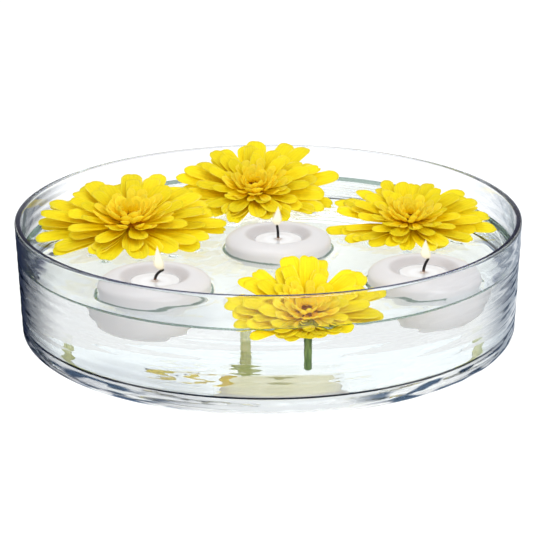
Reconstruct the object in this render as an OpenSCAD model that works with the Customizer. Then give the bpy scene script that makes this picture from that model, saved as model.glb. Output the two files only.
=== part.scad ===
// Floating candle bowl: a low glass bowl of water that carries disc candles and double daisies.
// All lengths are in millimetres. The origin is the centre of the foot, and +Z points up.

/* [Bowl] */
// Outer diameter of the bowl at its rim
bowl_d = 300; // [280:1:340]
// How much narrower the foot is than the rim
draft = 4.4; // [0:0.2:12]
// Height of the bowl
bowl_h = 70; // [60:1:110]
// Thickness of the side wall
wall_t = 3.5; // [2.5:0.1:5]
// Thickness of the floor
floor_t = 8; // [4:0.5:12]
// Rounding of the outer heel
heel_r = 4; // [1:0.5:6]
// Rounding inside, where the wall meets the floor
cove_r = 5; // [2:0.5:9]

/* [Water] */
// Height of the water over the table
water_z = 48; // [44:1:54]
// Film of clearance between the water and the glass
glass_gap = 0.2; // [0.1:0.05:0.5]
// Clearance of the hollow that each floating piece makes in the water
float_gap = 0.4; // [0.3:0.05:0.8]

/* [Candles] */
// Diameter of a candle at its widest
candle_d = 63; // [54:0.5:66]
// Height of a candle
candle_h = 29; // [24:0.5:34]
// Height of the candle's widest ring over the water
candle_ride = 4; // [0:0.5:6]
// Height of the shoulder over the widest ring
shoulder_h = 5; // [3:0.5:7]
// Diameter of the crest of the rim round the dished top
crest_d = 41; // [38:0.5:50]
// Diameter of the flat underneath
candle_base_d = 30; // [24:1:40]
// Diameter of the melted pool
pool_d = 26; // [20:0.5:32]
// Depth from the crest to the face of the pool
dish_h = 3.6; // [2:0.2:6]
// Depth of the melted wax
pool_t = 1.4; // [0.8:0.1:2]
// Clearance between the wax and the pool, the wick or its tab
wax_gap = 0.1; // [0.05:0.05:0.2]

/* [Wicks] */
// Diameter of the wick
wick_d = 1.7; // [1:0.1:2.4]
// Length of the burnt end over the pool
wick_l = 9; // [6:0.5:12]
// Diameter of the metal tab under the candle
tab_d = 15; // [10:0.5:20]
// Thickness of the tab
tab_t = 0.5; // [0.3:0.1:1]
// Wall of the neck that grips the wick
neck_t = 0.5; // [0.3:0.1:0.8]
// Height of that neck
neck_h = 4; // [2:0.5:8]

/* [Flowers] */
// Spread of the left flower
left_spread = 130; // [100:1:134]
// Spread of the back flower
back_spread = 116; // [96:1:120]
// Spread of the right flower
right_spread = 106; // [90:1:112]
// Spread of the front flower
front_spread = 98; // [84:1:102]
// Thickness of a petal along its midrib
petal_t = 1; // [0.7:0.1:1.4]
// Clearance between the floating pieces and the glass, and between one another
wall_gap = 1; // [0.6:0.1:3]
// Gap between the green cup and the stacked seats of the petals
seat_gap = 0.2; // [0.1:0.05:0.3]
// Height of the green cup under a flower
calyx_h = 6; // [4:0.5:8]
// Diameter of the stem
stem_d = 4.2; // [3:0.2:6]
// Length of the stem below the cup
stem_l = 22; // [12:1:26]

/* [Hidden] */

$fn = 96;
// Length that a cut runs past the face it opens
past = 5;
// Step of an angle along a drawn arc
arc_step = 10;

glass_colour = [0.80, 0.88, 0.92, 0.35];
water_colour = [0.75, 0.90, 0.95, 0.45];
wax_colour = [0.95, 0.94, 0.95];
pool_colour = [0.98, 0.96, 0.90];
wick_colour = [0.12, 0.10, 0.10];
tab_colour = [0.75, 0.75, 0.78];
petal_colour = [0.98, 0.84, 0.06];
floret_colour = [0.94, 0.70, 0.04];
green_colour = [0.38, 0.52, 0.24];

// Radii of the leaning wall, outside and inside, at a height
function outside_r(z) = (bowl_d - draft) / 2 + draft / 2 * z / (bowl_h - wall_t / 2);
function inside_r(z) = outside_r(z) - wall_t;

function flat(p) = [p.x, p.y];

// A place on the water: an angle from +X, and a share of the radius that is free
function polar(r, angle, z) = [r * cos(angle), r * sin(angle), z];

// Candles: angle and share of the place, bend of the wick's burnt end, direction of the bend
LEFT_CANDLE = [230.6, 0.885, 78, 5];
MIDDLE_CANDLE = [333, 0.058, 9, 200];
RIGHT_CANDLE = [323.4, 0.965, 42, 20];

belly_h = candle_h - shoulder_h;
candle_z = water_z + candle_ride - belly_h;
candle_room = inside_r(water_z) - candle_d / 2 - wall_gap;
function candle_at(c) = polar(candle_room * c[1], c[0], candle_z);
function bend_of(c) = c[2];
function bend_way_of(c) = c[3];

// Flowers: angle and share of the place, spread, tilt towards the front, spin, reach of the
// front petals, height of the heart over the water, dip of the front petals, cupping, number
LEFT_FLOWER = [160.5, 0.61, left_spread, 11, 10, 0.95, 2.5, 0, 1, 1];
BACK_FLOWER = [95.4, 0.65, back_spread, 20, 40, 1, 4, 0, 1, 2];
RIGHT_FLOWER = [20.4, 0.635, right_spread, 12, 75, 0.97, 2.2, 0, 1, 3];
FRONT_FLOWER = [279.2, 0.865, front_spread, 22, 20, 1, 1.2, 6, 0.35, 4];

CANDLES = [LEFT_CANDLE, MIDDLE_CANDLE, RIGHT_CANDLE];
FLOWERS = [LEFT_FLOWER, BACK_FLOWER, RIGHT_FLOWER, FRONT_FLOWER];

function flower_at(f) = polar(inside_r(water_z) * f[1], f[0], water_z + f[6]);
function spread_r(f) = f[2] / 2;
function tilt_of(f) = f[3];
function spin_of(f) = f[4];
function front_reach_of(f) = f[5];
function dip_of(f) = f[7];
function cupping_of(f) = f[8];
function number_of(f) = f[9];

// Whorls from the outside in: count of petals, then as shares of half the spread their reach,
// width, root radius and root height, in degrees their lean and their curl, and in petal
// thicknesses how high they lie on the whorls below where the head rests on the water
WHORLS = [
    [13, 1.00, 0.245, 0.140, 0.010, 0, 3, 0],
    [13, 0.96, 0.235, 0.140, 0.022, 2.5, 4, 1],
    [12, 0.87, 0.220, 0.135, 0.034, 5, 6, 2],
    [11, 0.73, 0.200, 0.125, 0.066, 9, 8, 4],
    [9, 0.56, 0.175, 0.110, 0.078, 13, 14, 5],
    [8, 0.30, 0.150, 0.085, 0.108, 24, 55, 6],
    [5, 0.18, 0.115, 0.060, 0.120, 44, 85, 6.6]
];
function count_of(k) = WHORLS[k][0];
function reach_of(k) = WHORLS[k][1];
function width_of(k) = WHORLS[k][2];
function root_r_of(k) = WHORLS[k][3];
function root_h_of(k) = WHORLS[k][4];
function lean_of(k) = WHORLS[k][5];
function curl_of(k) = WHORLS[k][6];
function lie_of(k) = WHORLS[k][7];

// Share of a petal's length that is left where it meets the glass. From the heart c the tip
// lies at c + v, and the glass is the circle of radius r
function glass_share(c, v, r) =
    let (a = v * v, b = c * v, d = r * r - c * c)
    (sqrt(b * b + a * d) - b) / a;

// Share that is left at a straight border at a distance from the heart, towards another piece
function border_share(way, distance, v) =
    let (along = v * way / norm(way)) along > distance ? distance / along : 1;

// Petals keep to their side of the borders with the candles and the other flowers
function room_share(f, tip) =
    let (
        c = flat(flower_at(f)),
        v = flat(tip) - c,
        beside_candles = [
            for (o = CANDLES)
                let (way = flat(candle_at(o)) - c)
                border_share(way, norm(way) - candle_d / 2 - wall_gap - tip_half, v)
        ],
        beside_flowers = [
            for (o = FLOWERS)
                if (number_of(o) != number_of(f))
                    let (
                        way = flat(flower_at(o)) - c,
                        share = spread_r(f) / (spread_r(f) + spread_r(o))
                    )
                    border_share(way, norm(way) * share - wall_gap / 2 - tip_half, v)
        ]
    )
    min(concat(
        [1, glass_share(c, v, inside_r(water_z) - wall_gap - tip_half)],
        beside_candles, beside_flowers
    ));

// The three layers of a head: the first and last whorl, and the floor and top of the seat
// that carries them, again as shares of half the spread
OUTER_LAYER = [0, 2, 0, 0.050];
INNER_LAYER = [3, 4, 0.050, 0.092];
FLORET_LAYER = [5, 6, 0.092, 0.135];

// Places of a petal's sections along its length, before its tip
SECTIONS = [0, 0.4, 0.82];
// Rise of a petal's edges over its midrib, as a share of half its width
petal_cup = 0.14;
// Width of a petal's claw, as a share of its blade
claw_share = 0.30;
// Place of the widest part of the blade along the petal
widest = 0.7;
// Half the width that a petal still has close to its tip
tip_half = 2.5;
// Distance in front of the heart over which the petals take up their dip
dip_run = 15;
// Powers that shape the blade towards its claw and round its tip
claw_power = 1.3;
tip_power = 2.2;
// How far petals of one whorl differ: in azimuth as a share of their spacing, in length and
// width as shares, and in degrees in roll, and in lean for each whorl
azimuth_play = 0.5;
length_play = 0.24;
width_play = 0.3;
roll_play = 8;
lean_play = [5, 5, 5, 2, 2, 6, 6];

// A repeatable draw between 0 and 1 for one trait of one petal
function draw(number, k, i, trait) =
    let (v = 97.31 * sin(number * 37 + k * 101.3 + i * 63.7 + trait * 151.9))
    v - floor(v);

// Width of a petal along its length: a narrow claw, then a blade with a rounded tip
function blade(s) =
    (claw_share + (1 - claw_share) * pow(sin(90 * min(s / widest, 1)), claw_power))
    * sqrt(max(0, 1 - pow(max(0, (s - widest) / (1 - widest)), tip_power)));

function turned(p, a) = [p.x * cos(a) - p.y * sin(a), p.x * sin(a) + p.y * cos(a), p.z];
function tipped(p, a) = [p.x, p.y * cos(a) - p.z * sin(a), p.y * sin(a) + p.z * cos(a)];

// From the axes of the head to its place, with the front half drawn in
function placed(p, f) =
    let (q = tipped(turned(p, spin_of(f)), tilt_of(f)))
    flower_at(f) + [q.x, q.y * (q.y < 0 ? front_reach_of(f) : 1), q.z];

// A section is lifted whole until it lies on the water, or on the whorls that lie there
function afloat(points, f, k) =
    let (
        ahead = flower_at(f).y - points[0].y,
        dip = dip_of(f) * min(1, max(0, ahead / dip_run)),
        low = water_z + float_gap - dip + lie_of(k) * petal_t,
        up = max(0, low - min([for (p = points) p.z]))
    )
    [for (p = points) p + [0, 0, up]];

// What one petal is: its azimuth, length, lean at the root, half width and roll. Each whorl
// starts half a step on from the one before
function traits(f, k, i) =
    let (r = spread_r(f), n = number_of(f))
    [
        360 / count_of(k) * (i + k / 2 + azimuth_play * (draw(n, k, i, 1) - 0.5)),
        (reach_of(k) - root_r_of(k)) * r * (1 - length_play * draw(n, k, i, 2)),
        lean_of(k) * cupping_of(f) + lean_play[k] * (draw(n, k, i, 3) - 0.5),
        width_of(k) * r * (1 - width_play * draw(n, k, i, 4)) / 2,
        roll_play * (draw(n, k, i, 5) - 0.5)
    ];

// Midrib at s along a petal, as distance out, height and slope. It is an arc that starts at
// the petal's lean and turns by its curl
function midrib(f, k, length, start, s) =
    let (slope = start + curl_of(k) * s, bend_r = length * 180 / PI / curl_of(k))
    [
        root_r_of(k) * spread_r(f) + bend_r * (sin(slope) - sin(start)),
        root_h_of(k) * spread_r(f) + bend_r * (cos(start) - cos(slope)),
        slope
    ];

// The four corners of a petal's section: edge, midrib above, edge, midrib below
function section(f, k, t, length, s) =
    let (
        m = midrib(f, k, length, t[2], s),
        half = t[3] * blade(s),
        rib = petal_t / 2,
        edge = petal_cup * half
    )
    [for (c = [[-half, edge], [0, rib], [half, edge], [0, -rib]])
        let (
            side = c.x * cos(t[4]) - c.y * sin(t[4]),
            lift = c.x * sin(t[4]) + c.y * cos(t[4]),
            p = [m.x - lift * sin(m.z), side, m.y + lift * cos(m.z)]
        )
        placed(turned(p, t[0]), f)
    ];

module petal(f, k, i) {
    last = len(SECTIONS) - 1;
    t = traits(f, k, i);
    free_tip = midrib(f, k, t[1], t[2], 1);
    claw_r = root_r_of(k) * spread_r(f);
    share = room_share(f, placed(turned([free_tip.x, 0, free_tip.y], t[0]), f));
    length = (t[1] + claw_r) * share - claw_r;
    rings = [for (s = SECTIONS) afloat(section(f, k, t, length, s), f, k)];
    tip_ring = section(f, k, t, length, 1);
    tip = afloat([(tip_ring[1] + tip_ring[3]) / 2], f, k);
    skin = [
        for (m = [0 : last - 1], j = [0 : 3])
            let (a = 4 * m + j, b = 4 * m + (j + 1) % 4)
            each [[a, b, a + 4], [b, b + 4, a + 4]]
    ];
    root = [[0, 3, 1], [1, 3, 2]];
    end = [for (j = [0 : 3]) [4 * last + j, 4 * last + (j + 1) % 4, 4 * last + 4]];
    polyhedron(concat([for (ring = rings) each ring], tip), concat(skin, root, end));
}

// One layer of a head: its petals and the round seat that carries their claws.
// The resize changes no size. It only fuses what overlaps into one skin
module layer(f, which) {
    r = spread_r(f);
    seat_r = root_r_of(which[0]) * r + petal_t / 2;
    resize([0, 0, 0]) {
        for (k = [which[0] : which[1]], i = [0 : count_of(k) - 1])
            petal(f, k, i);
        translate(flower_at(f))
            rotate([tilt_of(f), 0, 0])
                translate([0, 0, which[2] * r + seat_gap])
                    cylinder(r = seat_r, h = (which[3] - which[2]) * r - seat_gap, $fn = 14);
    }
}

module outer_petals(f) {
    color(petal_colour) layer(f, OUTER_LAYER);
}

module inner_petals(f) {
    color(petal_colour) layer(f, INNER_LAYER);
}

module florets(f) {
    color(floret_colour) layer(f, FLORET_LAYER);
}

// Green cup of bracts under the head
function calyx_r(f) = root_r_of(0) * spread_r(f);

module calyx(f) {
    r = calyx_r(f);
    color(green_colour)
        translate(flower_at(f))
            rotate([tilt_of(f), 0, 0])
                rotate_extrude()
                    polygon([
                        [0, -calyx_h], [stem_d / 2 + 0.5, -calyx_h],
                        for (a = [0 : arc_step : 90])
                            [stem_d / 2 + 0.5 + (r - stem_d / 2 - 0.5) * sin(a),
                             -1 - (calyx_h - 2) * cos(a)],
                        [r, 0], [0, 0]
                    ]);
}

// The stem hangs straight down from the cup, so its top clears the cup's tilted underside
function stem_x(f) = flower_at(f).x;
function stem_y(f) = flower_at(f).y + calyx_h * sin(tilt_of(f));
function stem_top(f) =
    flower_at(f).z - calyx_h * cos(tilt_of(f)) - stem_d / 2 * sin(tilt_of(f)) - seat_gap;

module stem(f) {
    color(green_colour)
        translate([stem_x(f), stem_y(f), stem_top(f) - stem_l])
            cylinder(d = stem_d, h = stem_l);
}

// Outline of a candle from the foot of its belly to the crest, grown outwards by a gap
function belly(gap) = [
    for (a = [0 : arc_step : 90])
        [candle_base_d / 2 + (candle_d - candle_base_d) / 2 * sin(a) + gap,
         belly_h * (1 - cos(a)) - gap * cos(a)]
];
SHOULDER = [
    for (a = [arc_step : arc_step : 90])
        [crest_d / 2 + (candle_d - crest_d) / 2 * cos(a), belly_h + shoulder_h * sin(a)]
];
// The dished top falls from the crest to the pool in one smooth wave
DISH = [
    for (t = [0.1 : 0.1 : 1])
        [crest_d / 2 + (pool_d - crest_d) / 2 * t, candle_h - dish_h * (1 - cos(180 * t)) / 2]
];
pool_z = candle_h - dish_h;
wick_r = wick_d / 2;
neck_r = wick_r + wax_gap + neck_t;

module candle(c) {
    bore_r = wick_r + wax_gap;
    neck_bore_r = neck_r + wax_gap;
    tab_bore_r = tab_d / 2 + wax_gap;
    bore = [
        [pool_d / 2, pool_z - pool_t], [bore_r, pool_z - pool_t],
        [bore_r, neck_h + wax_gap], [neck_bore_r, neck_h + wax_gap],
        [neck_bore_r, tab_t + wax_gap], [tab_bore_r, tab_t + wax_gap],
        [tab_bore_r, 0]
    ];
    color(wax_colour)
        translate(candle_at(c))
            rotate_extrude()
                polygon(concat(belly(0), SHOULDER, DISH, bore));
}

module pool(c) {
    color(pool_colour)
        translate(candle_at(c) + [0, 0, pool_z - pool_t + wax_gap])
            difference() {
                cylinder(d = pool_d - 2 * wax_gap, h = pool_t - wax_gap);
                translate([0, 0, -past])
                    cylinder(r = wick_r + wax_gap, h = pool_t + 2 * past);
            }
}

// The wick stands straight through the wax, and its burnt end bends over as an arc
module wick(c) {
    bend_r = wick_l * 180 / PI / bend_of(c);
    straight = pool_z - tab_t;
    color(wick_colour)
        translate(candle_at(c) + [0, 0, tab_t]) {
            cylinder(r = wick_r, h = straight);
            translate([0, 0, straight])
                rotate([0, 0, bend_way_of(c) + 180])
                    translate([-bend_r, 0, 0])
                        rotate([90, 0, 0])
                            rotate_extrude(angle = bend_of(c))
                                translate([bend_r, 0])
                                    circle(r = wick_r, $fn = 24);
        }
}

module wick_tab(c) {
    color(tab_colour)
        translate(candle_at(c))
            rotate_extrude()
                polygon([
                    [0, 0], [tab_d / 2, 0], [tab_d / 2, tab_t], [neck_r, tab_t],
                    [neck_r, neck_h], [wick_r + wax_gap, neck_h], [wick_r + wax_gap, tab_t],
                    [0, tab_t]
                ]);
}

// Inside of the bowl from the axis to the wall at height z, drawn in by a gap
function cavity(z, gap) = [
    [0, floor_t + gap],
    for (a = [-90 : arc_step : 0])
        [inside_r(floor_t + cove_r) - cove_r + (cove_r - gap) * cos(a),
         floor_t + cove_r + (cove_r - gap) * sin(a)],
    [inside_r(z) - gap, z]
];

module bowl() {
    heel = [
        for (a = [-90 : arc_step : 0])
            [outside_r(heel_r) - heel_r + heel_r * cos(a), heel_r + heel_r * sin(a)]
    ];
    rim_r = wall_t / 2;
    rim_z = bowl_h - rim_r;
    rim = [
        for (a = [0 : arc_step : 180])
            [outside_r(rim_z) - rim_r + rim_r * cos(a), rim_z + rim_r * sin(a)]
    ];
    inside = cavity(rim_z, 0);
    last = len(inside) - 2;
    color(glass_colour)
        rotate_extrude()
            polygon(concat([[0, 0]], heel, rim, [for (i = [last : -1 : 0]) inside[i]]));
}

// Hollow of a candle, open upwards so that the candle lifts straight out
module candle_hollow(c) {
    profile = belly(float_gap);
    top = belly_h + past;
    translate(candle_at(c))
        rotate_extrude()
            polygon(concat(
                [[0, -float_gap]], profile, [[candle_d / 2 + float_gap, top], [0, top]]
            ));
}

// Hollow of a flower's green cup and stem
module stem_hollow(f) {
    cup_z = flower_at(f).z - calyx_h - 2 * float_gap;
    cup_r = calyx_r(f) + calyx_h * sin(tilt_of(f)) + float_gap;
    translate([stem_x(f), stem_y(f), cup_z])
        cylinder(r = cup_r, h = calyx_h + past);
    translate([stem_x(f), stem_y(f), stem_top(f) - stem_l - float_gap])
        cylinder(d = stem_d + 2 * float_gap, h = stem_l + past);
}

// Hollow of the front petals that dip into the water
module dip_hollow(f) {
    at = flower_at(f);
    r = spread_r(f) + wall_gap;
    translate([at.x, at.y, water_z - dip_of(f)])
        intersection() {
            cylinder(r = r, h = dip_of(f) + past);
            translate([-r, -r, 0])
                cube([2 * r, r, dip_of(f) + past]);
        }
}

module water() {
    color(water_colour)
        difference() {
            rotate_extrude()
                polygon(concat(cavity(water_z, glass_gap), [[0, water_z]]));
            for (c = [LEFT_CANDLE, MIDDLE_CANDLE, RIGHT_CANDLE])
                candle_hollow(c);
            for (f = [LEFT_FLOWER, BACK_FLOWER, RIGHT_FLOWER, FRONT_FLOWER])
                stem_hollow(f);
            dip_hollow(FRONT_FLOWER);
        }
}

bowl();
water();
candle(LEFT_CANDLE);  // left_candle
pool(LEFT_CANDLE);  // left_pool
wick(LEFT_CANDLE);  // left_wick
wick_tab(LEFT_CANDLE);  // left_wick_tab
candle(MIDDLE_CANDLE);  // middle_candle
pool(MIDDLE_CANDLE);  // middle_pool
wick(MIDDLE_CANDLE);  // middle_wick
wick_tab(MIDDLE_CANDLE);  // middle_wick_tab
candle(RIGHT_CANDLE);  // right_candle
pool(RIGHT_CANDLE);  // right_pool
wick(RIGHT_CANDLE);  // right_wick
wick_tab(RIGHT_CANDLE);  // right_wick_tab
outer_petals(LEFT_FLOWER);  // left_flower_outer_petals
inner_petals(LEFT_FLOWER);  // left_flower_inner_petals
florets(LEFT_FLOWER);  // left_flower_florets
calyx(LEFT_FLOWER);  // left_flower_calyx
stem(LEFT_FLOWER);  // left_flower_stem
outer_petals(BACK_FLOWER);  // back_flower_outer_petals
inner_petals(BACK_FLOWER);  // back_flower_inner_petals
florets(BACK_FLOWER);  // back_flower_florets
calyx(BACK_FLOWER);  // back_flower_calyx
stem(BACK_FLOWER);  // back_flower_stem
outer_petals(RIGHT_FLOWER);  // right_flower_outer_petals
inner_petals(RIGHT_FLOWER);  // right_flower_inner_petals
florets(RIGHT_FLOWER);  // right_flower_florets
calyx(RIGHT_FLOWER);  // right_flower_calyx
stem(RIGHT_FLOWER);  // right_flower_stem
outer_petals(FRONT_FLOWER);  // front_flower_outer_petals
inner_petals(FRONT_FLOWER);  // front_flower_inner_petals
florets(FRONT_FLOWER);  // front_flower_florets
calyx(FRONT_FLOWER);  // front_flower_calyx
stem(FRONT_FLOWER);  // front_flower_stem
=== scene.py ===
"""Floating candle bowl: the looks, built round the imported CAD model. Lengths are written in
millimetres, as in the CAD source, and become metres where a mesh is made."""

import math

import bmesh
import bpy
import numpy as np
from mathutils import Matrix, Vector, geometry, noise


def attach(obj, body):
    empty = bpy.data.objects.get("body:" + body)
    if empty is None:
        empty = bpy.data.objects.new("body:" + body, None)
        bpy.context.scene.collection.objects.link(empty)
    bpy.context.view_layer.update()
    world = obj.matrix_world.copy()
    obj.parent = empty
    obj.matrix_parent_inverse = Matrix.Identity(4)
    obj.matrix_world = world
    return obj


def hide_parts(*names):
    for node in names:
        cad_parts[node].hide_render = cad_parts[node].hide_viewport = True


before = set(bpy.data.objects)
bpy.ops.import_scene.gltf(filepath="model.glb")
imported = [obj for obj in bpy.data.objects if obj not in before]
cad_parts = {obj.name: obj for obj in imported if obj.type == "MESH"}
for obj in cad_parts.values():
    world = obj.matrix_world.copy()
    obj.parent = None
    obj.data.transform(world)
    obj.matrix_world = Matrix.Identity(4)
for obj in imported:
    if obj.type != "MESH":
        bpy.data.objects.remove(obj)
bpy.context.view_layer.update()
MM = 0.001

# ---- sizes and places of the CAD source, in millimetres and degrees ----
BOWL_D, DRAFT, BOWL_H, WALL_T, FLOOR_T = 300, 4.4, 70, 3.5, 8
HEEL_R, COVE_R = 4, 5
WATER_Z = 48
CANDLE_D, CANDLE_H, CANDLE_RIDE, SHOULDER_H = 63, 29, 4, 5
CREST_D, CANDLE_BASE_D, POOL_D, DISH_H, POOL_T = 41, 30, 26, 3.6, 1.4
WICK_D, WICK_L = 1.7, 9
WALL_GAP, SEAT_GAP, CALYX_H, STEM_D, STEM_L = 1, 0.2, 6, 4.2, 22
PETAL_T = 1
BELLY_H = CANDLE_H - SHOULDER_H
POOL_Z = CANDLE_H - DISH_H
CANDLE_Z = WATER_Z + CANDLE_RIDE - BELLY_H


def outside_r(z):
    return (BOWL_D - DRAFT) / 2 + DRAFT / 2 * z / (BOWL_H - WALL_T / 2)


def inside_r(z):
    return outside_r(z) - WALL_T


def polar(r, angle, z):
    a = math.radians(angle)
    return np.array([r * math.cos(a), r * math.sin(a), z], float)


CANDLE_ROOM = inside_r(WATER_Z) - CANDLE_D / 2 - WALL_GAP
CANDLES = {
    "left": dict(at=polar(CANDLE_ROOM * 0.885, 230.6, CANDLE_Z), bend=78, way=5),
    "middle": dict(at=polar(CANDLE_ROOM * 0.058, 333, CANDLE_Z), bend=9, way=200),
    "right": dict(at=polar(CANDLE_ROOM * 0.965, 323.4, CANDLE_Z), bend=42, way=20),
}


def flower(angle, share, spread, tilt, spin, reach, rise, dip, cupping, number):
    return dict(at=polar(inside_r(WATER_Z) * share, angle, WATER_Z + rise), r=spread / 2,
                tilt=tilt, spin=spin, reach=reach, dip=dip, cupping=cupping, n=number)


FLOWERS = {
    "left": flower(160.5, 0.61, 130, 11, 10, 0.95, 2.5, 0, 1, 1),
    "back": flower(95.4, 0.65, 116, 20, 40, 1, 4, 0, 1, 2),
    "right": flower(20.4, 0.635, 106, 12, 75, 0.97, 2.2, 0, 1, 3),
    "front": flower(279.2, 0.865, 98, 22, 20, 1, 1.2, 6, 0.35, 4),
}
# count, reach, width, root radius, root height, lean, curl, height over the whorls below.
# The last three are the tiny curls of the heart
WHORLS = [
    (13, 1.00, 0.245, 0.140, 0.010, 0, 3, 0),
    (13, 0.96, 0.235, 0.140, 0.022, 2.5, 4, 1),
    (12, 0.87, 0.220, 0.135, 0.034, 5, 6, 2),
    (11, 0.73, 0.200, 0.125, 0.066, 9, 8, 4),
    (9, 0.56, 0.175, 0.110, 0.078, 13, 14, 5),
    (8, 0.30, 0.130, 0.085, 0.108, 16, 55, 6),
    (5, 0.18, 0.095, 0.060, 0.120, 28, 85, 6.6),
    (15, 0.43, 0.110, 0.180, 0.104, 6, 40, 6.2),
    (13, 0.33, 0.095, 0.120, 0.122, 8, 55, 7.0),
    (10, 0.22, 0.085, 0.060, 0.138, 12, 80, 7.6),
]
LEAN_PLAY = (5, 5, 5, 2, 2, 6, 6, 20, 26, 30)
LAYERS = {
    "outer_petals": (0, 2, 0, 0.050),
    "inner_petals": (3, 4, 0.050, 0.092),
    "florets": (5, 9, 0.092, 0.118),
}
PETAL_CUP, CLAW_SHARE, WIDEST, TIP_HALF, DIP_RUN = 0.24, 0.30, 0.7, 2.5, 15
AZIMUTH_PLAY, LENGTH_PLAY, WIDTH_PLAY, ROLL_PLAY = 0.5, 0.24, 0.3, 8
SHEET_MID, SHEET_EDGE = 0.6, 0.22


# ---- materials ----
def new_material(name):
    m = bpy.data.materials.new(name)
    m.use_nodes = True
    m.node_tree.nodes.clear()
    return m


def add(m, kind, **values):
    node = m.node_tree.nodes.new(kind)
    for key, value in values.items():
        if key in node.inputs:
            node.inputs[key].default_value = value
        else:
            setattr(node, key, value)
    return node


def link(m, a, b):
    m.node_tree.links.new(a, b)


def feed(m, socket, value):
    """Sets a socket to a number or a colour, or links another node's output to it."""
    if isinstance(value, (int, float)):
        socket.default_value = value
    elif isinstance(value, tuple):
        socket.default_value = (*value, 1)
    else:
        link(m, value, socket)


def math_node(m, operation, *values):
    n = add(m, "ShaderNodeMath", operation=operation)
    for socket, value in zip(n.inputs, values):
        feed(m, socket, value)
    return n.outputs[0]


def colour_ramp(m, factor, stops, interpolation="EASE"):
    n = add(m, "ShaderNodeValToRGB")
    n.color_ramp.interpolation = interpolation
    while len(n.color_ramp.elements) < len(stops):
        n.color_ramp.elements.new(0.5)
    for e, (place, colour) in zip(n.color_ramp.elements, stops):
        e.position = place
        e.color = (*colour, 1)
    link(m, factor, n.inputs[0])
    return n.outputs[0]


def grey_ramp(m, factor, stops, interpolation="EASE"):
    return colour_ramp(m, factor, [(place, (level,) * 3) for place, level in stops],
                       interpolation)


def mixed(m, factor, a, b, blend_type="MIX"):
    n = add(m, "ShaderNodeMix", data_type="RGBA", blend_type=blend_type)
    for socket, value in ((n.inputs["Factor"], factor), (n.inputs[6], a), (n.inputs[7], b)):
        feed(m, socket, value)
    return n.outputs[2]


def mixed_shader(m, share, first, second):
    n = add(m, "ShaderNodeMixShader")
    for socket, value in zip(n.inputs, (share, first, second)):
        feed(m, socket, value)
    return n.outputs[0]


def attribute(m, name, output="Fac"):
    return add(m, "ShaderNodeAttribute", attribute_name=name).outputs[output]


def coords(m, scale=(1, 1, 1)):
    t = add(m, "ShaderNodeTexCoord")
    mp = add(m, "ShaderNodeMapping")
    mp.inputs["Scale"].default_value = scale
    link(m, t.outputs["Object"], mp.inputs[0])
    return mp.outputs[0]


def noise_of(m, vector, scale, detail=3.0, roughness=0.5):
    n = add(m, "ShaderNodeTexNoise", Scale=scale, Detail=detail, Roughness=roughness)
    link(m, vector, n.inputs["Vector"])
    return n.outputs["Fac"]


def bump_of(m, height, strength, distance):
    n = add(m, "ShaderNodeBump", Strength=strength, Distance=distance)
    link(m, height, n.inputs["Height"])
    return n.outputs["Normal"]


def surface(m, shader):
    out = add(m, "ShaderNodeOutputMaterial")
    link(m, shader, out.inputs["Surface"])
    return m


def clear_material(name, ior, tint, shadow_tint, painted_dark_tint, edge_gloss=False):
    """Glass or water: refracts what is seen, and lets lamp light through with a slight tint.
    Where the mesh's mask of painted dark marks is high, the surface takes their dark tint:
    painted reflections of dark surroundings, and painted shade."""
    m = new_material(name)
    ripple = noise_of(m, coords(m, (1, 1, 2.5)), 70, 2)
    clear = add(m, "ShaderNodeBsdfGlass", Color=(*tint, 1), Roughness=0.0, IOR=ior)
    colour = colour_ramp(m, attribute(m, "painted_dark"), [(0.0, tint), (0.25, tint), (0.8, painted_dark_tint)])
    link(m, colour, clear.inputs["Color"])
    link(m, bump_of(m, ripple, 0.04, 0.0006), clear.inputs["Normal"])
    body = clear.outputs[0]
    if edge_gloss:
        # thick polished glass mirrors its surroundings strongly where it turns away
        gloss = add(m, "ShaderNodeBsdfAnisotropic", Roughness=0.02)
        link(m, colour, gloss.inputs["Color"])
        facing = add(m, "ShaderNodeLayerWeight", Blend=0.5).outputs["Facing"]
        share = grey_ramp(m, facing, [(0.0, 0.0), (0.48, 0.0), (0.70, 0.55), (0.88, 0.92)])
        body = mixed_shader(m, share, body, gloss.outputs[0])
    open_way = add(m, "ShaderNodeBsdfTransparent", Color=(*shadow_tint, 1))
    path = add(m, "ShaderNodeLightPath").outputs
    passing = math_node(m, "MAXIMUM", path["Is Shadow Ray"], path["Is Diffuse Ray"])
    return surface(m, mixed_shader(m, passing, body, open_way.outputs[0]))


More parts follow.
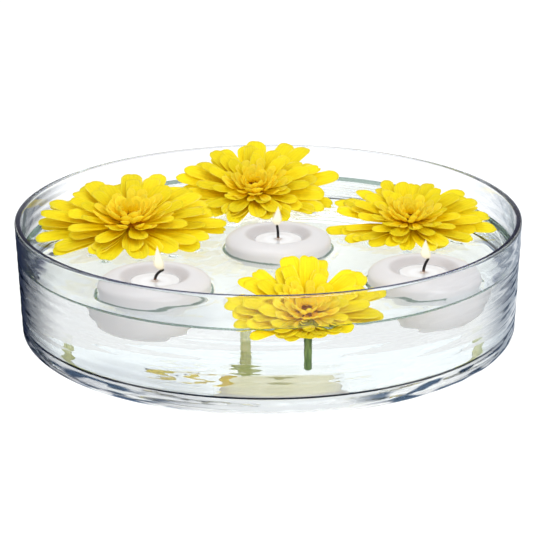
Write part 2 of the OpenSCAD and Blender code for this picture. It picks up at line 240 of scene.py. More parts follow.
def petal_material(name, deep, root, mid, tip, edge, glow, painted_glow):
    """Colour runs from the claw to the tip, with fine veins; at the tips and along the edges near
    them it turns pale, a painted highlight. The petals also give off a faint light of their own
    colour, a painted glow. The "petal" attribute holds the place along and across a petal and the
    petal's own tone."""
    m = new_material(name)
    sep = add(m, "ShaderNodeSeparateColor")
    link(m, attribute(m, "petal", "Color"), sep.inputs[0])
    along, across, tone = sep.outputs
    patchy = noise_of(m, coords(m), 90, 3)
    place = math_node(m, "ADD", along, math_node(m, "MULTIPLY", patchy, 0.5))
    # painted highlight: the edges of a petal run further up the ramp, so that near its end they
    # reach the pale colour at the ramp's top
    rim = math_node(m, "MULTIPLY", math_node(m, "POWER", across, 5.0), 0.3)
    place = math_node(m, "MULTIPLY", math_node(m, "ADD", place, rim), 0.6)
    base = colour_ramp(m, place, [
        (0.0, deep), (0.10, root), (0.34, mid), (0.70, tip), (1.0, edge)])
    streak = math_node(m, "MULTIPLY", noise_of(m, coords(m), 520, 2), 0.10)
    bands = math_node(m, "SINE", math_node(m, "MULTIPLY", across, 21.0))
    lines = math_node(m, "ADD", math_node(m, "MULTIPLY_ADD", bands, 0.045, streak), 0.80)
    shade = math_node(m, "MULTIPLY_ADD", tone, 0.16, lines)
    grey = add(m, "ShaderNodeCombineColor")
    for socket in grey.inputs[:3]:
        link(m, shade, socket)
    toned = mixed(m, 1.0, base, grey.outputs[0], "MULTIPLY")
    veins = math_node(m, "SINE", math_node(m, "MULTIPLY", across, 34.0))
    fine = noise_of(m, coords(m), 900, 2)
    height = math_node(m, "ADD", math_node(m, "MULTIPLY", veins, 0.5), fine)
    p = add(m, "ShaderNodeBsdfPrincipled", Roughness=0.55)
    p.inputs["Specular IOR Level"].default_value = 0.08
    link(m, toned, p.inputs["Base Color"])
    # painted glow: the petals give off a faint light of their own colour, most in the florets
    link(m, toned, p.inputs["Emission Color"])
    p.inputs["Emission Strength"].default_value = painted_glow
    link(m, bump_of(m, height, 0.6, 0.0003), p.inputs["Normal"])
    through = add(m, "ShaderNodeBsdfTranslucent", Color=(*glow, 1))
    return surface(m, mixed_shader(m, 0.47, p.outputs[0], through.outputs[0]))


def wax_material(name, base, rough, glossy, painted_shade_tone):
    """Wax that takes a darker tone where its mask of painted shade is high, and where "under" is
    high gives off a faint yellow light of its own, a painted glow standing in for the flowers'
    light."""
    m = new_material(name)
    cloud = noise_of(m, coords(m), 60, 3)
    warm = tuple(c * 0.965 for c in base)
    p = add(m, "ShaderNodeBsdfPrincipled", Roughness=rough)
    p.subsurface_method = "RANDOM_WALK"
    p.inputs["Subsurface Weight"].default_value = 0.35
    p.inputs["Subsurface Radius"].default_value = (1.0, 0.85, 0.75)
    p.inputs["Subsurface Scale"].default_value = 0.004
    p.inputs["Coat Weight"].default_value = glossy
    p.inputs["Coat Roughness"].default_value = 0.04
    painted_shade_colour = colour_ramp(m, attribute(m, "painted_shade"), [(0.0, (1.0,) * 3), (1.0, painted_shade_tone)])
    link(m, mixed(m, 1.0, mixed(m, cloud, base, warm), painted_shade_colour, "MULTIPLY"), p.inputs["Base Color"])
    link(m, colour_ramp(m, attribute(m, "under"), [(0.0, (0.0,) * 3), (1.0, (0.22, 0.21, 0.03))]),
         p.inputs["Emission Color"])
    p.inputs["Emission Strength"].default_value = 1.0
    fine = noise_of(m, coords(m), 260, 4)
    link(m, bump_of(m, fine, 0.12, 0.0004), p.inputs["Normal"])
    return surface(m, p.outputs[0])


def wick_material():
    m = new_material("burnt_wick")
    base = colour_ramp(m, attribute(m, "burn"), [
        (0.0, (0.55, 0.33, 0.16)), (0.16, (0.25, 0.11, 0.05)), (0.34, (0.012, 0.010, 0.010)),
        (1.0, (0.006, 0.005, 0.006))])
    braid = add(m, "ShaderNodeTexWave", Scale=420.0, Distortion=2.0, wave_type="BANDS",
                bands_direction="DIAGONAL")
    link(m, coords(m), braid.inputs["Vector"])
    p = add(m, "ShaderNodeBsdfPrincipled", Roughness=0.85)
    link(m, base, p.inputs["Base Color"])
    link(m, bump_of(m, braid.outputs["Fac"], 0.8, 0.0003), p.inputs["Normal"])
    return surface(m, p.outputs[0])


def tab_material():
    m = new_material("tab_metal")
    dull = noise_of(m, coords(m), 300, 3)
    p = add(m, "ShaderNodeBsdfPrincipled", Metallic=1.0)
    link(m, colour_ramp(m, dull, [(0.3, (0.55, 0.55, 0.57)), (0.7, (0.75, 0.75, 0.77))]),
         p.inputs["Base Color"])
    link(m, math_node(m, "MULTIPLY_ADD", dull, 0.3, 0.5), p.inputs["Roughness"])
    return surface(m, p.outputs[0])


def green_material(name, dark, light):
    m = new_material(name)
    streak = noise_of(m, coords(m, (1, 1, 0.25)), 420, 3)
    p = add(m, "ShaderNodeBsdfPrincipled", Roughness=0.6)
    link(m, colour_ramp(m, streak, [(0.3, dark), (0.7, light)]), p.inputs["Base Color"])
    link(m, bump_of(m, streak, 0.5, 0.0004), p.inputs["Normal"])
    return surface(m, p.outputs[0])


def flame_material(name, low, high, strength, alpha):
    """Burning gas: pale light that thins out towards the wick."""
    m = new_material(name)
    burn = attribute(m, "burn")
    light = add(m, "ShaderNodeEmission", Strength=strength)
    link(m, colour_ramp(m, burn, [(0.0, low), (0.45, high), (1.0, high)]), light.inputs["Color"])
    air = add(m, "ShaderNodeBsdfTransparent")
    seen = grey_ramp(m, burn, [(0.0, 0.0), (0.3, alpha), (0.8, alpha), (1.0, alpha * 0.6)])
    return surface(m, mixed_shader(m, seen, air.outputs[0], light.outputs[0]))


def hidden_side(name):
    """The water's sides and underside lie against the glass, whose own faces bend the light."""
    m = new_material(name)
    return surface(m, add(m, "ShaderNodeBsdfTransparent").outputs[0])


GLASS_IOR, WATER_IOR = 1.5, 1.33
GLASS_TINT, GLASS_SHADOW = (0.985, 0.988, 0.992), (0.985, 0.99, 0.99)
# the last colour given to each is the dark tint of its painted reflections and painted shade
glass = clear_material("bowl_glass", GLASS_IOR, GLASS_TINT, GLASS_SHADOW, (0.16, 0.16, 0.24))
outer_glass = clear_material("bowl_glass_outside", GLASS_IOR, GLASS_TINT, GLASS_SHADOW,
                             (0.10, 0.15, 0.23), True)
wetted = clear_material("bowl_glass_under_water", GLASS_IOR / WATER_IOR, (0.99, 0.995, 0.992),
                        GLASS_SHADOW, (0.01, 0.015, 0.03))
water_top = clear_material("water_surface", WATER_IOR, (0.955, 0.992, 1.0), (0.98, 0.99, 0.99),
                           (0.34, 0.43, 0.39))
# the fifth colour of each is the pale painted highlight at the petals' ends, and the last number
# the strength of their painted glow
lemon = petal_material("petal_yellow", (0.60, 0.22, 0.0), (0.90, 0.48, 0.0), (0.96, 0.77, 0.0),
                       (1.0, 0.94, 0.025), (1.0, 1.0, 0.30), (0.96, 0.77, 0.0), 0.02)
golden = petal_material("floret_yellow", (0.20, 0.05, 0.0), (0.96, 0.50, 0.0),
                        (0.98, 0.72, 0.002), (1.0, 0.93, 0.06), (1.0, 1.0, 0.38),
                        (0.98, 0.76, 0.01), 0.14)
# the last colour of each is the tone that its mask of painted shade brings
wax = wax_material("candle_wax", (0.60, 0.583, 0.578), 0.38, 0.0, (0.80, 0.77, 0.76))
melted = wax_material("melted_wax", (0.76, 0.75, 0.742), 0.10, 1.0, (0.55, 0.44, 0.36))
wick_black = wick_material()
metal = tab_material()
bract_green = green_material("bract_green", (0.26, 0.32, 0.06), (0.46, 0.50, 0.14))
stem_green = green_material("stem_green", (0.045, 0.09, 0.02), (0.16, 0.24, 0.06))
# a paler copy of the stem colour, for the painted veil over the stems further back
stem_painted_pale = green_material("stem_painted_pale", (0.52, 0.58, 0.32), (0.74, 0.78, 0.54))
flame_core = flame_material("flame_core", (1.0, 0.88, 0.55), (1.0, 0.99, 0.88), 1.1, 0.92)
flame_glow = flame_material("flame_glow", (1.0, 0.82, 0.45), (1.0, 0.96, 0.66), 1.0, 0.38)
unseen = hidden_side("water_against_glass")


# ---- mesh helpers ----
def make_object(name, verts_mm, faces, materials, face_materials=None):
    mesh = bpy.data.meshes.new(name)
    mesh.from_pydata([tuple(float(c) * MM for c in v) for v in verts_mm], [], faces)
    for m in materials:
        mesh.materials.append(m)
    if face_materials is not None:
        mesh.polygons.foreach_set("material_index", list(face_materials))
    mesh.polygons.foreach_set("use_smooth", [True] * len(mesh.polygons))
    mesh.update()
    obj = bpy.data.objects.new(name, mesh)
    bpy.context.scene.collection.objects.link(obj)
    return obj


def float_attribute(obj, name, values):
    a = obj.data.attributes.new(name, "FLOAT", "POINT")
    a.data.foreach_set("value", [float(v) for v in values])


def shifted(verts, by):
    return [(v[0] + by[0], v[1] + by[1], v[2] + by[2]) for v in verts]


def rings_closed(rings, sides, base=0):
    """Faces of a closed tube, whose rings of points lie one after another from base."""
    faces = []
    for q in range(rings - 1):
        for j in range(sides):
            a, b = base + q * sides + j, base + q * sides + (j + 1) % sides
            faces.append((a, b, b + sides, a + sides))
    faces.append(tuple(base + j for j in reversed(range(sides))))
    faces.append(tuple(base + (rings - 1) * sides + j for j in range(sides)))
    return faces


def lathe(profile, segments, wobble):
    """Closed surface of revolution. The profile's first and last points lie on the axis, and
    wobble gives how much further out a point lies, from its row, angle, radius and height."""
    inner = profile[1:-1]
    verts = [(0, 0, profile[0][1]), (0, 0, profile[-1][1])]
    for i in range(segments):
        a = 2 * math.pi * i / segments
        for j, (r, z) in enumerate(inner):
            rr = r + wobble(j, a, r, z)
            verts.append((rr * math.cos(a), rr * math.sin(a), z))
    n = len(inner)

    def at(i, j):
        return 2 + (i % segments) * n + j

    faces, rows = [], []
    for i in range(segments):
        faces.append((0, at(i + 1, 0), at(i, 0)))
        rows.append(0)
        for j in range(n - 1):
            faces.append((at(i, j), at(i + 1, j), at(i + 1, j + 1), at(i, j + 1)))
            rows.append(j + 1)
        faces.append((1, at(i, n - 1), at(i + 1, n - 1)))
        rows.append(n)
    return verts, faces, rows


def arc(cx, cz, r, a0, a1, steps):
    out = []
    for i in range(steps + 1):
        a = math.radians(a0 + (a1 - a0) * i / steps)
        out.append((cx + r * math.cos(a), cz + r * math.sin(a)))
    return out


# ---- the glass bowl ----
RING_POINTS = 288  # round the bowl and the water
MENISCUS = 2.4
WALL_ROWS, DRY_ROWS, WET_ROWS = 44, 14, 28
# painted reflection: a dark line along the rim, standing in for dark surroundings that the rim
# bends
PAINTED_RIM_LINE = 0.66, 0.24, 90  # how dark the rim's line is in the middle, and how it fades backwards


def build_bowl():
    rim_r = WALL_T / 2
    rim_z = BOWL_H - rim_r
    profile = [(0, 0), (30, 0), (70, 0), (105, 0), (130, 0)]
    foot_row = len(profile)
    profile += arc(outside_r(HEEL_R) - HEEL_R, HEEL_R, HEEL_R, -90, 0, 8)
    for i in range(1, WALL_ROWS):
        z = HEEL_R + (rim_z - HEEL_R) * i / WALL_ROWS
        profile.append((outside_r(z), z))
    rim_row = len(profile) - 1
    profile += arc(outside_r(rim_z) - rim_r, rim_z, rim_r, 0, 180, 12)
    wet_from = WATER_Z + MENISCUS
    for i in range(1, DRY_ROWS):
        z = rim_z + (wet_from - rim_z) * i / (DRY_ROWS - 1)
        profile.append((inside_r(z), z))
    wet_row = len(profile) - 1
    low = FLOOR_T + COVE_R
    for i in range(1, WET_ROWS):
        z = wet_from + (low - wet_from) * i / (WET_ROWS - 1)
        profile.append((inside_r(z), z))
    cove_row = len(profile)
    profile += arc(inside_r(low) - COVE_R, low, COVE_R, 0, -90, 8)[1:]
    for r in (125, 110, 90, 65, 35, 12):
        profile.append((r, FLOOR_T))
    profile.append((0, FLOOR_T))

    def wobble(j, a, r, z):
        """Faint ripples left by moulding, none on the foot or the inner floor."""
        if r < 140 or z < 2 or z > BOWL_H - 3:
            return 0
        fade = min(1, (z - 2) / 8, (BOWL_H - 3 - z) / 8)
        p = Vector((math.cos(a) * 1.6, math.sin(a) * 1.6, z * 0.16))
        big = noise.noise(p) * 0.14
        rings = math.sin(z * 0.95 + 2 * noise.noise(p * 0.7)) * 0.09
        return fade * (big + rings)

    verts, faces, rows = lathe(profile, RING_POINTS, wobble)
    slots = [1 if row >= wet_row else 2 if foot_row <= row < rim_row else 0 for row in rows]
    bowl = make_object("glass_bowl", verts, faces, [glass, wetted, outer_glass], slots)
    # painted shade: a thin dark line round the floor, in the turn of the cove
    turn_rows = (cove_row + 2, cove_row + 3)
    painted_dark = []
    for x, y, z in verts:
        r = math.hypot(x, y)
        near = [math.hypot(r - profile[q][0], z - profile[q][1]) < 0.3 for q in turn_rows]
        over = math.degrees(math.atan2(z - rim_z, r - outside_r(rim_z) + rim_r))
        dark = 0
        # painted reflection: a dark line along the top of the rim, darkest in front and fading
        # towards the back
        if z > rim_z and 55 < over < 150:
            middle, fade, run = PAINTED_RIM_LINE
            dark = middle - fade * max(-0.8, min(1, y / run))
        elif r > outside_r(z) - 1 or (z < HEEL_R and r > 140):
            # painted reflections: dark streaks in the foot and dark rings up both sides, none at
            # the back, standing in for the dark surroundings that the wall mirrors
            ends = smooth_ramp(abs(x), 12, 85) * (1 - smooth_ramp(y, 30, 90))
            flow = noise.noise(Vector((x * 0.06, y * 0.06, z * 0.75)))
            if z < 9:
                dark = ends * max(0.85 if 0 < z < 1.0 else 0, min(1, 0.45 + 1.7 * flow))
            elif z < 50:
                sides = smooth_ramp(abs(x), 118, 143) * (1 - smooth_ramp(y, 10, 60))
                rings = min(1, max(0, 1.5 * math.sin(1.3 * z + 2.5 * flow) - 0.2))
                dark = sides * rings * 0.8
        elif z < 0.1:
            # painted shade: a darker patch under the foot, towards the left front
            dark = 0.44 * smooth_ramp(-x, -10, 50) * smooth_ramp(-y, 20, 70)
        painted_dark.append(1.0 if any(near) else dark)
    float_attribute(bowl, "painted_dark", painted_dark)
    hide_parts("bowl")
    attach(bowl, "root")


# ---- the petals ----
def draw(n, k, i, trait):
    v = 97.31 * math.sin(math.radians(n * 37 + k * 101.3 + i * 63.7 + trait * 151.9))
    return v - math.floor(v)


def smooth_ramp(x, lo, hi):
    t = np.clip((x - lo) / (hi - lo), 0, 1)
    return t * t * (3 - 2 * t)


def turn(p, a):
    c, s = math.cos(math.radians(a)), math.sin(math.radians(a))
    return np.stack([p[..., 0] * c - p[..., 1] * s, p[..., 0] * s + p[..., 1] * c, p[..., 2]], -1)


def tip_over(p, a):
    c, s = math.cos(math.radians(a)), math.sin(math.radians(a))
    return np.stack([p[..., 0], p[..., 1] * c - p[..., 2] * s, p[..., 1] * s + p[..., 2] * c], -1)


def placed(p, f):
    q = tip_over(turn(p, f["spin"]), f["tilt"])
    y = np.where(q[..., 1] < 0, q[..., 1] * f["reach"], q[..., 1])
    return np.stack([q[..., 0], y, q[..., 2]], -1) + f["at"]


def room_share(f, tip):
    c = f["at"][:2]
    v = tip[:2] - c
    radius = inside_r(WATER_Z) - WALL_GAP - TIP_HALF
    a, b, d = v @ v, c @ v, radius * radius - c @ c
    shares = [1, (math.sqrt(b * b + a * d) - b) / a]

    def border(way, distance):
        along = v @ way / np.linalg.norm(way)
        return distance / along if along > distance else 1

    for o in CANDLES.values():
        way = o["at"][:2] - c
        shares.append(border(way, np.linalg.norm(way) - CANDLE_D / 2 - WALL_GAP - TIP_HALF))
    for o in FLOWERS.values():
        if o["n"] != f["n"]:
            way = o["at"][:2] - c
            share = f["r"] / (f["r"] + o["r"])
            shares.append(border(way, np.linalg.norm(way) * share - WALL_GAP / 2 - TIP_HALF))
    return min(shares)


def midrib(k, r, length, start, s):
    curl = WHORLS[k][6]
    bend_r = length * 180 / math.pi / curl
    slope = np.radians(start + curl * s)
    a0 = math.radians(start)
    out = WHORLS[k][3] * r + bend_r * (np.sin(slope) - math.sin(a0))
    rise = WHORLS[k][4] * r + bend_r * (math.cos(a0) - np.cos(slope))
    return out, rise, slope


U_STEPS, T_STEPS = 16, 10
SEAT_SIDES = 28


def petal_sheet(f, k, i):
    """Points of one petal's upper face, as a grid along and across it, and its place data."""
    count, reach, width, root_r, _, lean, _, lie = WHORLS[k]
    r = f["r"]

    def play(trait):
        return draw(f["n"], k, i, trait)

    azimuth = 360 / count * (i + k / 2 + AZIMUTH_PLAY * (play(1) - 0.5))
    length = (reach - root_r) * r * (1 - LENGTH_PLAY * play(2))
    start = lean * f["cupping"] + LEAN_PLAY[k] * (play(3) - 0.5)
    half = width * r * (1 - WIDTH_PLAY * play(4)) / 2
    roll = math.radians(ROLL_PLAY * (play(5) - 0.5))
    out, rise, _ = midrib(k, r, length, start, 1.0)
    free_tip = placed(turn(np.array([out, 0.0, rise]), azimuth), f)
    length = (length + root_r * r) * room_share(f, free_tip) - root_r * r

    u = np.linspace(0, 1, U_STEPS + 1)[:, None]
    t = np.linspace(-1, 1, T_STEPS + 1)[None, :]
    # the outline: columns end on a rounded tip with a small notch, or a slight point
    blunt = min(0.45, half / length * (0.85 + 0.4 * play(6)))
    notch = 0.055 * (play(7) - 0.35)
    lop = 0.05 * (play(8) - 0.5)
    dent = np.exp(-(((t - lop * 4) / 0.22) ** 2))
    end = 1 - blunt * (1 - np.sqrt(1 - (0.985 * t) ** 2)) - notch * dent + lop * t
    s = u * end
    w = CLAW_SHARE + (1 - CLAW_SHARE) * np.sin(np.pi / 2 * np.minimum(s / WIDEST, 1)) ** 1.3
    w = w * (1 - 0.07 * smooth_ramp(s, 0.78, 1.0))
    side = half * w * t
    out, rise, slope = midrib(k, r, length, start, s)
    # across: a trough with two shallow grooves beside the midrib
    cup = PETAL_CUP * half * w * t * t * (1 - 0.35 * smooth_ramp(s, 0.7, 1))
    groove = -0.48 * (np.exp(-(((np.abs(t) - 0.36) / 0.13) ** 2)))
    groove = groove * np.sin(np.pi * np.clip(s, 0, 1)) * min(1, half / 4)
    wave = 0.5 * play(9) * np.sin(7 * s + 5 * play(10)) * t * smooth_ramp(s, 0.4, 1)
    # the tip turns up or down a little, and the petal bends to one side
    flick = (play(11) - 0.45) * 0.055 * length * smooth_ramp(s, 0.62, 1.05) ** 2
    lift = cup + groove + wave + PETAL_T * 0.3 + flick
    sway = (play(12) - 0.5) * 0.07 * length * s * s
    cr, sr = math.cos(roll), math.sin(roll)
    side, lift = side * cr - lift * sr + sway, side * sr + lift * cr
    p = np.stack([out - lift * np.sin(slope), side + 0 * out, rise + lift * np.cos(slope)], -1)
    p = placed(turn(p, azimuth), f)
    # each row across lies on the water, or dips into it in front of the heart
    ahead = f["at"][1] - p[:, T_STEPS // 2, 1]
    dip = f["dip"] * np.clip(ahead / DIP_RUN, 0, 1)
    floor = WATER_Z + 0.45 + lie * PETAL_T - dip
    up = np.maximum(0, floor - (p[:, :, 2].min(axis=1)))
    p[:, :, 2] += up[:, None]
    data = np.stack([s + 0 * t, np.abs(t) + 0 * u, 0 * s + play(13)], -1)
    return p, data


def thicken(p, thick_mid, thick_edge):
    """Both faces of a sheet: the grid itself and one set in below it."""
    du = np.gradient(p, axis=0)
    dv = np.gradient(p, axis=1)
    normal = np.cross(du, dv)
    normal /= np.maximum(np.linalg.norm(normal, axis=-1, keepdims=True), 1e-9)
    t = np.linspace(-1, 1, p.shape[1])[None, :, None]
    u = np.linspace(0, 1, p.shape[0])[:, None, None]
    thick = thick_edge + (thick_mid - thick_edge) * (1 - t**2) * (1 - u**3)
    return p - normal * thick


def petals_mesh(f, first, last):
    verts, faces, data = [], [], []
    for k in range(first, last + 1):
        for i in range(WHORLS[k][0]):
            top, info = petal_sheet(f, k, i)
            under = thicken(top, SHEET_MID, SHEET_EDGE)
            rows, cols = top.shape[:2]
            base = len(verts)
            m = rows * cols  # from a point of the upper face to the one under it
            verts.extend(top.reshape(-1, 3).tolist())
            verts.extend(under.reshape(-1, 3).tolist())
            data.extend(info.reshape(-1, 3).tolist() * 2)
            for a in range(rows - 1):
                for b in range(cols - 1):
                    q = base + a * cols + b
                    faces.append((q, q + cols, q + cols + 1, q + 1))
                    faces.append((q + m, q + m + 1, q + m + cols + 1, q + m + cols))
            ring = [base + b for b in range(cols)]
            ring += [base + a * cols + cols - 1 for a in range(1, rows)]
            ring += [base + (rows - 1) * cols + b for b in range(cols - 2, -1, -1)]
            ring += [base + a * cols for a in range(rows - 2, 0, -1)]
            for a, b in zip(ring, ring[1:] + ring[:1]):
                faces.append((a, b, b + m, a + m))
    return verts, faces, data


def build_heads():
    for name, f in FLOWERS.items():
        for layer, (first, last, low, high) in LAYERS.items():
            verts, faces, data = petals_mesh(f, first, last)
            # the seat that carries the claws
            base = len(verts)
            seat_r = WHORLS[first][3] * f["r"] + 0.3
            rings = ((low * f["r"] + SEAT_GAP, 1.0), ((low + high) / 2 * f["r"], 1.0),
                     (high * f["r"] - 0.3, 0.86))
            for z, share in rings:
                for q in range(SEAT_SIDES):
                    a = 2 * math.pi * q / SEAT_SIDES
                    p = np.array([seat_r * share * math.cos(a), seat_r * share * math.sin(a), z])
                    verts.append((tip_over(p, f["tilt"]) + f["at"]).tolist())
                    data.append([-0.4, 0.5, 0.3])
            faces += rings_closed(len(rings), SEAT_SIDES, base)
            obj = make_object(f"{name}_{layer}", verts, faces,
                              [golden if layer == "florets" else lemon])
            colours = obj.data.attributes.new("petal", "FLOAT_COLOR", "POINT")
            flat = np.ones((len(verts), 4))
            flat[:, :3] = np.array(data)
            colours.data.foreach_set("color", flat.ravel().tolist())
            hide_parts(f"{name}_flower_{layer}")
            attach(obj, f"{name}_flower_body")


def build_greens():
    for name, f in FLOWERS.items():
        r = WHORLS[0][3] * f["r"]
        neck = STEM_D / 2 + 0.5
        profile = [(0, -CALYX_H), (neck, -CALYX_H)]
        for i in range(1, 12):
            a = math.radians(90 * i / 11)
            profile.append((neck + (r - neck) * math.sin(a), -1 - (CALYX_H - 2) * math.cos(a)))
        profile += [(r, -0.3), (r - 0.6, 0), (0, 0)]

        def scales(j, a, rr, z):
            """Overlapping bracts in two rows."""
            return 0.35 * abs(math.sin(a * 6 + (1.57 if z < -3.4 else 0))) * min(1, rr / 5) - 0.2

        verts, faces, _ = lathe(profile, 96, scales)
        verts = [(tip_over(np.array(v, float), f["tilt"]) + f["at"]).tolist() for v in verts]
        cup = make_object(f"{name}_calyx", verts, faces, [bract_green])
        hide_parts(f"{name}_flower_calyx")
        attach(cup, f"{name}_flower_body")

        tilt = math.radians(f["tilt"])
        top = f["at"][2] - CALYX_H * math.cos(tilt) - STEM_D / 2 * math.sin(tilt) - SEAT_GAP
        x, y = f["at"][0], f["at"][1] + CALYX_H * math.sin(tilt)
        rr = STEM_D / 2
        profile = [(0, -STEM_L), (rr * 0.7, -STEM_L), (rr * 0.96, -STEM_L + 0.4)]
        profile += [(rr * (0.93 + 0.07 * q / 14), -STEM_L + STEM_L * q / 14) for q in range(1, 14)]
        profile += [(rr, -0.3), (rr * 0.9, 0), (0, 0)]

        def ribs(j, a, rad, z):
            return 0.09 * math.sin(7 * a + z * 0.1) * min(1, rad) + 0.08 * math.sin(z * 0.9)

        verts, faces, _ = lathe(profile, 40, ribs)
        # painted light: the stems further back get a paler copy of the stem colour, standing in for
        # the veil of light that the water between lays over them
        green = stem_green if name == "front" else stem_painted_pale
        stem = make_object(f"{name}_stem", shifted(verts, (x, y, top)), faces, [green])
        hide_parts(f"{name}_flower_stem")
        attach(stem, f"{name}_flower_body")


# ---- the candles ----
CANDLE_SIDES, POOL_SIDES = 128, 96
WAX_SEED = {"left": 1.3, "middle": 4.1, "right": 8.7}
FLAME_H = {"left": 14, "middle": 11.5, "right": 11.5}
FLAME_STEPS, FLAME_SIDES = 22, 32


def candle_profile():
    out = [(0, 0), (CANDLE_BASE_D / 4, 0), (CANDLE_BASE_D / 2 - 1, 0)]
    for i in range(25):
        a = math.radians(90 * i / 24)
        out.append((CANDLE_BASE_D / 2 + (CANDLE_D - CANDLE_BASE_D) / 2 * math.sin(a),
                    BELLY_H * (1 - math.cos(a))))
    for i in range(1, 15):
        a = math.radians(90 * i / 14)
        out.append((CREST_D / 2 + (CANDLE_D - CREST_D) / 2 * math.cos(a),
                    BELLY_H + SHOULDER_H * math.sin(a)))
    for i in range(1, 13):
        t = i / 12
        out.append((CREST_D / 2 + (POOL_D - CREST_D) / 2 * t,
                    CANDLE_H - DISH_H * (1 - math.cos(math.pi * t)) / 2))
    out += [(POOL_D / 2 - 0.2, POOL_Z - POOL_T), (POOL_D / 4, POOL_Z - POOL_T),
            (0, POOL_Z - POOL_T)]
    return out


def tube(path, radii, sides, twist):
    """A closed tube along points, fluted like a braid, and how far along it each point lies."""
    verts, along = [], []
    last = len(path) - 1
    for q, (p, r) in enumerate(zip(path, radii)):
        d = (Vector(path[min(last, q + 1)]) - Vector(path[max(0, q - 1)])).normalized()
        side = d.cross(Vector((0.3, 1, 0.1))).normalized()
        other = d.cross(side)
        for j in range(sides):
            w = 2 * math.pi * j / sides + twist * q
            flute = 1 + 0.10 * math.sin(3 * (w + 0.9 * q))
            verts.append(tuple(Vector(p) + (side * math.cos(w) + other * math.sin(w)) * r * flute))
            along.append(q / last)
    return verts, rings_closed(len(path), sides), along


def wick_path(c):
    """Centre line of a wick from the pool up, as the CAD source bends it."""
    bend_r = WICK_L * 180 / math.pi / c["bend"]
    way = math.radians(c["way"])
    points = []
    base = c["at"] + np.array([0, 0, POOL_Z])
    for z in (-1.2, -0.6):
        points.append((base + np.array([0, 0, z])).tolist())
    for q in range(15):
        a = math.radians(c["bend"] * q / 14)
        out, up = bend_r * (1 - math.cos(a)), bend_r * math.sin(a)
        points.append((base + np.array([out * math.cos(way), out * math.sin(way), up])).tolist())
    return points


def build_flame(name, body, path, seed):
    """A flame wraps the end of its wick and rises straight up, as a core in a wider glow."""
    tip, root = np.array(path[-1]), np.array(path[int(len(path) * 0.55)])
    low = tip[2] - 0.5
    parts = (("core", 2.5, 1.0, flame_core), ("glow", 3.4, 1.06, flame_glow))
    for part, wide, tall, material in parts:
        top = low + FLAME_H[name] * tall
        verts, along = [], []
        for q in range(FLAME_STEPS + 1):
            s = q / FLAME_STEPS
            rad = max(wide * (math.sin(math.pi * s ** 0.62) ** 0.9) * (1 - 0.45 * s), 0.03)
            lean = min(1, s / 0.25)
            cx = root[0] + (tip[0] - root[0]) * (0.5 - 0.35 * lean)
            cy = root[1] + (tip[1] - root[1]) * (0.5 - 0.35 * lean)
            cx += 0.35 * math.sin(3.5 * s + seed)
            for j in range(FLAME_SIDES):
                a = 2 * math.pi * j / FLAME_SIDES
                verts.append((cx + rad * math.cos(a), cy + rad * math.sin(a),
                              low + (top - low) * s))
                along.append(s)
        faces = rings_closed(FLAME_STEPS + 1, FLAME_SIDES)
        flame = make_object(f"{name}_flame_{part}", verts, faces, [material])
        float_attribute(flame, "burn", along)
        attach(flame, body)
        flame.visible_shadow = False


